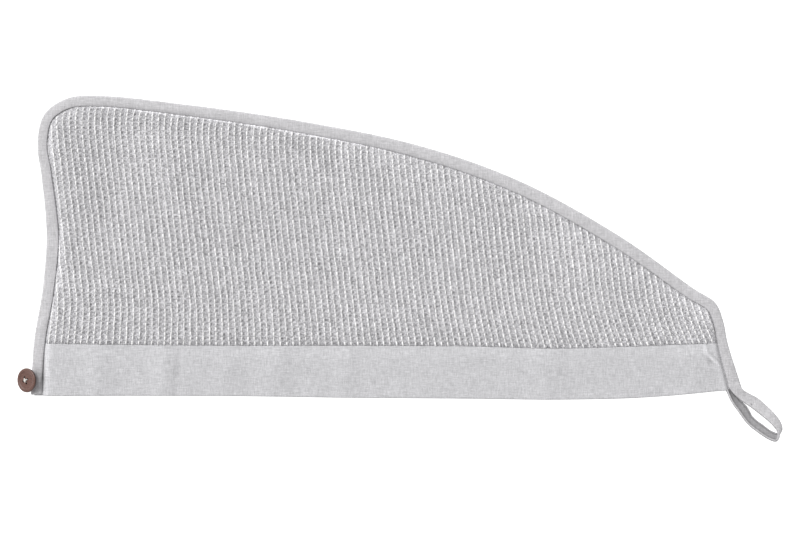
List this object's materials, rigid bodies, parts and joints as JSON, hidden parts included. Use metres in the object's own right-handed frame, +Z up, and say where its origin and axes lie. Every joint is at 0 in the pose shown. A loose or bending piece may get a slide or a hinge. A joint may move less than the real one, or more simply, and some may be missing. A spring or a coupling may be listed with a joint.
{
  "type": "hair towel",
  "caption": "Flat turban hair towel of two teardrop waffle cloth panels with plain bands, a folded binding, a four-hole button and a loop.",
  "frame": {"origin": "middle of the whole outline, on the surface that the towel lies on", "axes": "+X along the opening from the button to the loop, +Y from the opening to the curved seam, +Z up through the two panels"},
  "size_m": [0.6513, 0.2945, 0.0125],
  "materials": {
    "waffle_cloth": "light grey waffle weave with white raised columns",
    "plain_cloth": "light grey plain weave",
    "binding_strip": "light grey plain weave strip, folded",
    "brown_button": "brown, fine grain, low sheen",
    "white_thread": "white twisted thread"
  },
  "bodies": {
    "root": {"front_panel": "waffle_cloth", "back_panel": "waffle_cloth", "front_band": "plain_cloth", "back_band": "plain_cloth", "binding": "binding_strip", "loop": "binding_strip", "button": "brown_button", "button_thread": "white_thread"}
  },
  "joints": []
}
